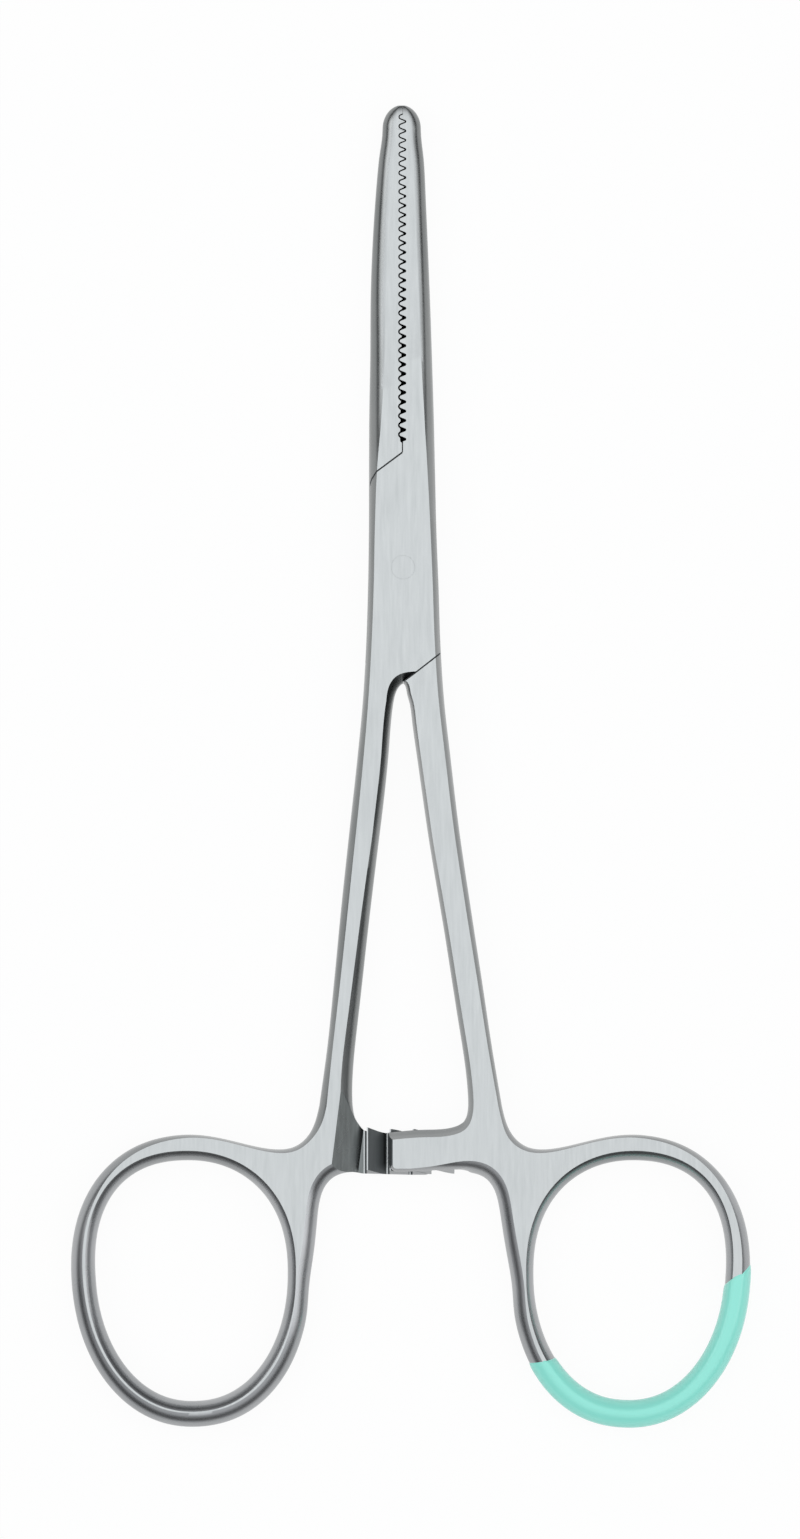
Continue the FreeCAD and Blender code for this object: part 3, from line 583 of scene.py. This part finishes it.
# Past the top shoulder the line bends down. Rows: share of its run, drop below its end
SHOULDER_BENDS = np.array([(1.20, 0.85), (1.36, 2.26)])
PARTING_DROP = 0.98           # from the bottom shoulder down to the parting line of the shanks
PIN_RADIUS, PIN_RUNNING_FIT, PRESS_FIT = 1.25, 0.03, 0.01
JAW_CLOSED = 0.012            # the gap that stays at mid height
# Shares of the box's thickness, from where the jaws start to open to where they are open
OPENING_LEVELS = np.array([0.10, 0.15, 0.20, 0.25, 0.30, 1.0])
SERRATION_PITCH, SERRATION_DEPTH, SERRATION_TIP_RADIUS = 0.99, 0.70, 0.16
SERRATION_START, TIP_MARGIN, SERRATION_FLANK, CROWN_POINTS = 13.3, 0.6, 68.0, 7
JAW_GAP_AT_TIP, JAW_GAP_AT_BOX, CREST_WEAR_AT_BOX = 0.14, 0.19, 0.48


def jaw_line(gap_at_tip, gap_at_box, wear_at_box):
    """Rounded teeth to the left and right by turns. Each crown is an arc between straight flanks,
    cut flat where it is worn, and the whole line moves square to itself by the gap."""
    count = int((JAW_REACH - TIP_MARGIN - SERRATION_START) / SERRATION_PITCH)
    side = np.tile([1.0, -1.0], count)[:, None]
    crown = SERRATION_START + (np.arange(2 * count) + 0.5)[:, None] * SERRATION_PITCH / 2
    turn = np.radians(np.linspace(-SERRATION_FLANK, SERRATION_FLANK, CROWN_POINTS))
    y = crown + SERRATION_TIP_RADIUS * np.sin(turn)
    out = SERRATION_DEPTH / 2 - SERRATION_TIP_RADIUS * (1 - np.cos(turn))
    along = (JAW_REACH - crown) / (JAW_REACH - SERRATION_START)
    wear = np.where(side > 0, wear_at_box * along, 0.0)
    x = side * np.minimum(out, SERRATION_DEPTH / 2 - wear)
    x, y = x.ravel(), y.ravel()
    ends = SERRATION_START, SERRATION_START + count * SERRATION_PITCH
    x, y = np.concatenate([[0.0], x, [0.0]]), np.concatenate([ends[:1], y, ends[1:]])
    share = (y - SERRATION_START) / (JAW_REACH - SERRATION_START)
    line = np.column_stack([x, y])
    return line + left_of(line) * (gap_at_box + (gap_at_tip - gap_at_box) * share)[:, None]


def tenon_zones(gap, play, jaws):
    """Closed skins that together hold the tenon half, each clear of the box half by gap or play.

    The jaws meet at mid height, and their line opens towards the flats with a soft S of the height.
    """
    slope = np.arctan((SHOULDER_RISE_TOP + SHOULDER_RISE_BOTTOM) / 2)
    aside = gap * np.array([np.sin(slope), -np.cos(slope)])
    end = BOX_SHOULDER_TOP - SHOULDER_RUN_TOP * SHOULDER_RISE_TOP
    rise = (SHOULDER_RUN_BOTTOM - SHOULDER_START_BOTTOM) * SHOULDER_RISE_BOTTOM
    bends = (0.0, end) - SHOULDER_BENDS * (SHOULDER_RUN_TOP, 1.0)
    upper = np.vstack([[(0.0, BOX_SHOULDER_TOP), (-SHOULDER_RUN_TOP, end)], bends]) - aside
    lower = np.array([(SHOULDER_START_BOTTOM, BOX_SHOULDER_BOTTOM),
                      (SHOULDER_RUN_BOTTOM, BOX_SHOULDER_BOTTOM + rise)]) + aside
    run, past_tip = 2 * SHOULDER_RUN_BOTTOM, JAW_REACH + 1
    z = BOX_THICKNESS * np.concatenate([-OPENING_LEVELS[::-1], OPENING_LEVELS])
    shut, wide = OPENING_LEVELS[0], OPENING_LEVELS[-2]
    opening = np.clip((np.abs(z) / BOX_THICKNESS - shut) / (wide - shut), 0, 1)
    closed = np.minimum(jaws, (JAW_CLOSED, JAW_CLOSED, 0.0))
    levels = []
    for height, share in zip(z, opening * opening * (3 - 2 * opening)):
        edge = jaw_line(*(closed + share * (np.array(jaws) - closed)))
        upper[0, 0] = edge[0, 0]
        outside = [(edge[-1, 0], past_tip), (-run, past_tip), (-run, upper[-1, 1])]
        plan = np.vstack([edge, outside, upper[::-1]])
        levels.append(np.column_stack([plan, np.full(len(plan), height)]))
    parting = 0.4 * play
    outside = [(parting, -PAST_ALL), (PAST_ALL, -PAST_ALL), (PAST_ALL, lower[-1, 1])]
    shank_plan = np.vstack([outside, lower[::-1], [(parting, lower[0, 1] - PARTING_DROP)]])
    half = TENON_THICKNESS / 2 + TENON_PLAY - play
    top, bottom = BOX_SHOULDER_TOP + 0.5, BOX_SHOULDER_BOTTOM - 2
    neck = np.array([(-run, 0), (-play, 0), (-play, top), (-run, top)])
    foot = np.array([(play, 0), (run, 0), (run, bottom), (play, bottom)])
    return [closed_skin("jaw zone", np.array(levels), GAP_SHADE_COLOUR),
            straight_prism("shank zone", shank_plan, -BOX_THICKNESS, BOX_THICKNESS, GAP_SHADE_COLOUR),
            round_bar("tenon disc", SLOT_RADIUS - play, -half, half, GAP_SHADE_COLOUR),
            straight_prism("tenon neck", neck, -half, half, GAP_SHADE_COLOUR),
            straight_prism("tenon foot", foot, -half, half, GAP_SHADE_COLOUR)]


# %% [markdown]
# ## Making the two halves
# Now the pieces come together as in the workshop. The blank loses the room for its partner, its
# ring end is joined on, and then the finger hole, the ratchet, the space between the shanks and
# the bore for the pin are cut. The tenon half is the blank's share that lies inside the tenon's own
# zones. Last, the sides of both arms are slanted a little near their teeth.

# %% The box half
def ring_end(place, shank_bevel, throat, bevels):
    """The closed plate of a ring and its arm, put in its place."""
    return closed_skin("ring end", place(ring_end_rings(shank_bevel, throat, bevels)))


def shared_cuts(place, hole_bevels, slope_angle, bore):
    """What is cut from either half: finger hole, ratchet with its slope, and the bore."""
    return [closed_skin("finger hole", place(hole_rings(hole_bevels))),
            *ratchet_cutters(slope_angle, place),
            round_bar("bore", bore, -BOX_THICKNESS, BOX_THICKNESS)]


LEFT_SHANK_BEVEL, RIGHT_SHANK_BEVEL = SHANK_SECTIONS[-1, 3:]
box_forging = closed_skin("box_forging", blank_rings())
combine(box_forging, "DIFFERENCE", *tenon_zones(0.0, 0.0, (0.0, 0.0, 0.0)))
combine(box_forging, "UNION", ring_end(on_left, LEFT_SHANK_BEVEL, LEFT_THROAT, LEFT_RING_BEVELS))
left_gap = closed_skin("left gap", gap_rings(LEFT_INNER, LEFT_INNER_BEVELS, -LEFT_EDGE,
                                             LEFT_ARM_TOP_SLOPE) * (-1, 1, 1))
combine(box_forging, "DIFFERENCE", left_gap,
        *shared_cuts(on_left, LEFT_HOLE_BEVELS, LEFT_SLOPE_ANGLE, PIN_RADIUS - PRESS_FIT))
print("The box half has", len(box_forging.data.polygons), "faces")

# %% The tenon half
tenon_forging = closed_skin("tenon_forging", blank_rings())
jaw, shank, disc, neck, foot = tenon_zones(SHOULDER_GAP, TENON_PLAY,
                                           (JAW_GAP_AT_TIP, JAW_GAP_AT_BOX, CREST_WEAR_AT_BOX))
combine(tenon_forging, "INTERSECT", combine(disc, "UNION", neck, foot, jaw, shank))
combine(tenon_forging, "UNION", ring_end(on_right, RIGHT_SHANK_BEVEL, RIGHT_THROAT,
                                         RIGHT_RING_BEVELS))
right_gap = closed_skin("right gap", gap_rings(RIGHT_INNER, RIGHT_INNER_BEVELS, RIGHT_EDGE,
                                               RIGHT_ARM_TOP_SLOPE))
combine(tenon_forging, "DIFFERENCE", right_gap,
        *shared_cuts(on_right, RIGHT_HOLE_BEVELS, RIGHT_SLOPE_ANGLE, PIN_RADIUS + PIN_RUNNING_FIT))
print("The tenon half has", len(tenon_forging.data.polygons), "faces")

# %% The slanting sides of the arms
ARM_LEAN, LEAN_REACH = 0.75, 1.2
LEAN_FROM, LEAN_FADE = -57.5, 1.0
LEFT_ARM_ROOT, RIGHT_ARM_ROOT, ARM_ROOT_FADE = -5.6, 7.5, 1.3


def lean_arm(piece, root, fade):
    """The sides of an arm slant near its teeth, so each crest makes a small step in the outline.

    y grows by z (1 - (z / reach)^2)^2 times the lean, faded in along the arm and below its top.
    """
    points = np.empty(len(piece.data.vertices) * 3)
    piece.data.vertices.foreach_get("co", points)
    x, y, z = points.reshape(-1, 3).T
    share = np.clip((x - root) / fade, 0, 1) * np.clip((LEAN_FROM - y) / LEAN_FADE, 0, 1)
    y += share * ARM_LEAN * z * np.clip(1 - (z / LEAN_REACH) ** 2, 0, 1) ** 2
    piece.data.vertices.foreach_set("co", points)
    piece.data.update()


lean_arm(box_forging, LEFT_ARM_ROOT, ARM_ROOT_FADE)
lean_arm(tenon_forging, RIGHT_ARM_ROOT, -ARM_ROOT_FADE)
print("The sides lean by up to", round(ARM_LEAN * LEAN_REACH * 16 / 25 / 5 ** 0.5, 2), "mm")

# %% The pin, riveted flush and ground over
pin = round_bar("pin", PIN_RADIUS, -BOX_THICKNESS / 2, BOX_THICKNESS / 2)
print("The pin has", len(pin.data.polygons), "faces")

# %% [markdown]
# ## The dipped ring
# One ring was dipped in colour. The coating is a thin even film, so it follows the ring's rounded
# section a little further out, and it stops at two straight lines where the dip ended. We walk
# round the ring by its angle, with one ring of points across the section at each step. Its first
# and last steps lie along the dip lines, and there the film thins out to a rounded edge.

# %% The film of colour
COATING_THICKNESS = 0.13
DIP_LINES = (((-3.0, -28.3), (5.6, -26.7)), ((23.9, -18.7), (33.0, -11.4)))
FILM_STEPS, ROUNDED_STEPS = 220, 5
BAND_WIDTH, BAND_POINTS = 2.5, 7      # of the flat band from the ring's outer edge to its hole
END_SINK = 0.02               # how far the first and last ring of points lie inside the steel
SMOOTHING_PASSES = 3


def dip_angle(shape, line):
    """Where a ring outline crosses a dip line, by the change of sign of the side it lies on."""
    degrees = np.arange(-180.0, 180.0, 0.05)
    points = egg(degrees, **shape)
    (x0, y0), (x1, y1) = line
    side = (points[:, 0] - x0) * (y1 - y0) - (points[:, 1] - y0) * (x1 - x0)
    middle = np.array([(x0 + x1) / 2, (y0 + y1) / 2])
    crossing = np.flatnonzero(np.diff(np.sign(side)) != 0)
    away = np.hypot(*(points[crossing] - middle).T)
    return degrees[crossing[np.argmin(away)]]


def film_rings():
    """Rings of points across the section, from one dip line to the other.

    Each point moves from the outer outline to the hole's outline with its share across the band.
    At either end the film grows as a quarter circle over a few steps.
    """
    share, rise = side_shares(SIDE_TURN, 0.999)
    band, full = np.linspace(0, 1, BAND_POINTS + 2)[1:-1], np.ones(BAND_POINTS)
    across = np.concatenate([np.zeros(len(share)), band, np.ones(len(share)), band[::-1]])
    inset = np.concatenate([share, full, share[::-1], full])
    level = np.concatenate([rise, full, rise[::-1], -full])

    def along_dip_line(line):
        """The angle of each point on a dip line, by how far in plan it lies from the outer edge."""
        outer, inner = [dip_angle(shape, line) for shape in (RING, HOLE)]
        bevel, hole_bevel = [np.interp(outer, *rows.T) / BAND_WIDTH
                             for rows in (RIGHT_RING_BEVELS, RIGHT_HOLE_BEVELS)]
        crest = bevel + (1 - hole_bevel - bevel) * across
        reach = np.select([across == 0, across == 1], [bevel * inset, 1 - hole_bevel * inset],
                          crest)
        return outer + (inner - outer) * reach

    first, last = [along_dip_line(line) for line in DIP_LINES]
    step = np.linspace(0, 1, FILM_STEPS)[:, None]
    degrees = first + (last - first) * step

    def outline(shape, sign):
        flat = degrees.ravel()
        here, ahead = egg(flat, **shape), egg(flat + 0.5, **shape)
        along = ahead - here
        along /= np.hypot(along[:, 0], along[:, 1])[:, None]
        inwards = sign * np.column_stack([-along[:, 1], along[:, 0]])
        return here.reshape(*degrees.shape, 2), inwards.reshape(*degrees.shape, 2)

    outer, outer_in = outline(RING, 1)
    hole, hole_in = outline(HOLE, -1)
    bevel = np.interp(degrees, *RIGHT_RING_BEVELS.T)
    hole_bevel = np.interp(degrees, *RIGHT_HOLE_BEVELS.T)
    edge = np.minimum(step, 1 - step) * FILM_STEPS / ROUNDED_STEPS
    film = COATING_THICKNESS * np.sqrt(1 - (1 - np.clip(edge, 0, 1)) ** 2)
    film = film - END_SINK * (edge < 0.01)
    outer = outer + outer_in * (bevel * inset - film)[..., None]
    hole = hole + hole_in * (hole_bevel * inset - film)[..., None]
    plan = outer + (hole - outer) * across[:, None]
    z = (SHANK_THICKNESS / 2 + film) * level
    return np.concatenate([plan, z[..., None]], -1)


rings = on_right(film_rings())
for _ in range(SMOOTHING_PASSES):
    rings = (np.roll(rings, 1, 1) + 2 * rings + np.roll(rings, -1, 1)) / 4
coating = closed_skin("coating_film", rings)
print("The film has", len(coating.data.polygons), "faces")

# %% [markdown]
# ## Finishing the pieces
# The work so far was in millimetres about the middle plane. Each piece now moves up onto the table,
# in metres. The steel is shaded round where its small facets meet at a small angle, and keeps crisp
# edges where a cutter or the grinding belt left them.

# %% To the table
CRISP, FILM_CRISP = np.radians(24.0), np.radians(50.0)
MERGE = 0.002


def finish_piece(piece, body, node, crisp=CRISP):
    """Joins points that meet, changes millimetres to metres, and marks the crisp edges."""
    mesh = piece.data
    build = bmesh.new()
    build.from_mesh(mesh)
    bmesh.ops.remove_doubles(build, verts=build.verts, dist=MERGE)
    bmesh.ops.dissolve_degenerate(build, edges=build.edges, dist=MERGE)
    build.to_mesh(mesh)
    build.free()
    points = np.empty(len(mesh.vertices) * 3)
    mesh.vertices.foreach_get("co", points)
    points = (points.reshape(-1, 3) + (0, 0, BOX_THICKNESS / 2)) * MM
    mesh.vertices.foreach_set("co", points.ravel())
    mesh.polygons.foreach_set("use_smooth", np.ones(len(mesh.polygons), bool))
    mesh.set_sharp_from_angle(angle=crisp)
    mesh.update()
    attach(piece, body)
    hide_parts(node)
    print(piece.name, "has", len(mesh.polygons), "faces")


finish_piece(box_forging, "box_side", "box_half")
finish_piece(tenon_forging, "tenon_side", "tenon_half")
finish_piece(pin, "box_side", "pivot_pin")
finish_piece(coating, "tenon_side", "colour_coating", FILM_CRISP)

# %% Which parts face up: the ground flats, and the sides that the steel paints darker as shade
UPRIGHT_FROM, UPRIGHT_SPAN = 0.90, 0.09     # of how far a corner faces up or down


def mark_facing_up(piece):
    """Stores how far each corner faces straight up or down: 1 on the flats, falling to 0 below.
    The steel takes its ground finish from it, and paints the sides darker as shade.
    """
    mesh = piece.data
    normals = np.empty(len(mesh.loops) * 3, np.float32)
    mesh.corner_normals.foreach_get("vector", normals)
    upright = np.abs(normals.reshape(-1, 3)[:, 2])
    share = np.clip((upright - UPRIGHT_FROM) / UPRIGHT_SPAN, 0, 1)
    layer = mesh.attributes.new("ground_and_shade", "FLOAT", "CORNER")
    layer.data.foreach_set("value", share * share * (3 - 2 * share))
    return share.mean()


for piece in (box_forging, tenon_forging, pin):
    colours = np.empty(len(piece.data.polygons) * 4, np.float32)
    piece.data.attributes["cut"].data.foreach_get("color", colours)
    print(piece.name, "is ground flat at", round(100 * mark_facing_up(piece)), "% of its corners, and",
          int((colours[3::4] > 0.5).sum()), "of its faces are cut")


# %% [markdown]
# ## Satin steel
# The flats were ground on a belt along the instrument, so they carry fine lengthwise scratches. The
# rounded sides were brushed and tumbled: smoother, and without a clear direction. Their colour is
# painted darker than the flats' as shade, a little less on the rings.

# %% Steel for the halves
RINGS_FROM, RINGS_AT = -58.0 * MM, -66.0 * MM     # where the sides' painted shade turns lighter towards the rings


def satin_steel():
    """Steel whose flats are belt-ground along Y, and whose sides are tumbled.
    Its sides are painted darker than the flats as shade.
    """
    material = bpy.data.materials.new("satin steel")
    material.use_nodes = True
    nodes, links = material.node_tree.nodes, material.node_tree.links
    steel = nodes["Principled BSDF"]
    steel.inputs["Metallic"].default_value = 1.0
    coords = nodes.new("ShaderNodeTexCoord")

    def noise(scale, stretch, detail=3.0):
        place = nodes.new("ShaderNodeMapping")
        place.inputs["Scale"].default_value = stretch
        links.new(coords.outputs["Object"], place.inputs[0])
        texture = nodes.new("ShaderNodeTexNoise")
        texture.inputs["Scale"].default_value = scale
        texture.inputs["Detail"].default_value = detail
        texture.inputs["Roughness"].default_value = 0.6
        links.new(place.outputs[0], texture.inputs["Vector"])
        return texture.outputs["Fac"]

    def spread(value, low, high, start=0.3, end=0.7):
        stretch = nodes.new("ShaderNodeMapRange")
        stretch.inputs["To Min"].default_value = low
        stretch.inputs["To Max"].default_value = high
        stretch.inputs["From Min"].default_value = start
        stretch.inputs["From Max"].default_value = end
        links.new(value, stretch.inputs["Value"])
        return stretch.outputs[0]

    def mixed(share, first, second, kind="FLOAT"):
        mix = nodes.new("ShaderNodeMix")
        mix.data_type = kind
        index = {"FLOAT": (2, 3, 0), "RGBA": (6, 7, 2)}[kind]
        links.new(share, mix.inputs[0])
        for slot, value in zip(index, (first, second)):
            if isinstance(value, (tuple, float)):
                mix.inputs[slot].default_value = value
            else:
                links.new(value, mix.inputs[slot])
        return mix.outputs[index[2]]

    def stored(name, output):
        attribute = nodes.new("ShaderNodeAttribute")
        attribute.attribute_name = name
        return attribute.outputs[output]

    flat = stored("ground_and_shade", "Fac")
    scratches = noise(900.0, (12.0, 0.35, 1.0))
    streaks = noise(160.0, (6.0, 0.25, 1.0))
    fine = noise(1500.0, (1.6, 0.14, 1.0))
    cloud = noise(60.0, (1.0, 1.0, 1.0))
    tumbled = noise(5200.0, (1.0, 1.0, 1.0), 2.0)

    flat_rough = spread(streaks, 0.30, 0.38)
    side_rough = spread(cloud, 0.24, 0.30)
    links.new(mixed(flat, side_rough, flat_rough), steel.inputs["Roughness"])
    tint = mixed(spread(streaks, 0.0, 1.0), (0.48, 0.50, 0.505, 1), (0.54, 0.56, 0.565, 1), "RGBA")
    tint = mixed(spread(fine, 0.0, 0.7), tint, (0.60, 0.62, 0.625, 1), "RGBA")
    length = nodes.new("ShaderNodeSeparateXYZ")
    links.new(coords.outputs["Object"], length.inputs[0])
    near_rings = spread(length.outputs["Y"], 0.0, 1.0, RINGS_FROM, RINGS_AT)
    # The sides are painted darker than the flats as shade, a little less near the rings
    side = mixed(spread(cloud, 0.0, 1.0), (0.20, 0.21, 0.21, 1), (0.28, 0.29, 0.29, 1), "RGBA")
    ring_side = mixed(spread(cloud, 0.0, 1.0), (0.31, 0.32, 0.33, 1), (0.43, 0.44, 0.45, 1), "RGBA")
    outside = mixed(flat, mixed(near_rings, side, ring_side, "RGBA"), tint, "RGBA")
    # Faces made by cutters take their stored colour: mostly painted shade, broken up by fine noise
    cut = mixed(spread(fine, 0.0, 0.35), stored("cut", "Color"), (0.05, 0.05, 0.05, 1), "RGBA")
    links.new(mixed(stored("cut", "Alpha"), outside, cut, "RGBA"), steel.inputs["Base Color"])

    grain = nodes.new("ShaderNodeBump")
    grain.inputs["Distance"].default_value = 0.004 * MM
    grain.inputs["Strength"].default_value = 0.5
    links.new(mixed(flat, tumbled, scratches), grain.inputs["Height"])
    links.new(grain.outputs[0], steel.inputs["Normal"])
    return material


halves_steel = satin_steel()
for piece in (box_forging, tenon_forging, pin):
    piece.data.materials.clear()
    piece.data.materials.append(halves_steel)
print("The steel has", len(halves_steel.node_tree.nodes), "shader nodes")


# %% The mint film
def mint_coating():
    """A glossy dipped film of one even colour."""
    material = bpy.data.materials.new("mint coating")
    material.use_nodes = True
    coat = material.node_tree.nodes["Principled BSDF"]
    coat.inputs["Base Color"].default_value = (0.30, 0.84, 0.72, 1)
    coat.inputs["Roughness"].default_value = 0.22
    coat.inputs["Specular IOR Level"].default_value = 0.6
    return material


coating.data.materials.clear()
coating.data.materials.append(mint_coating())
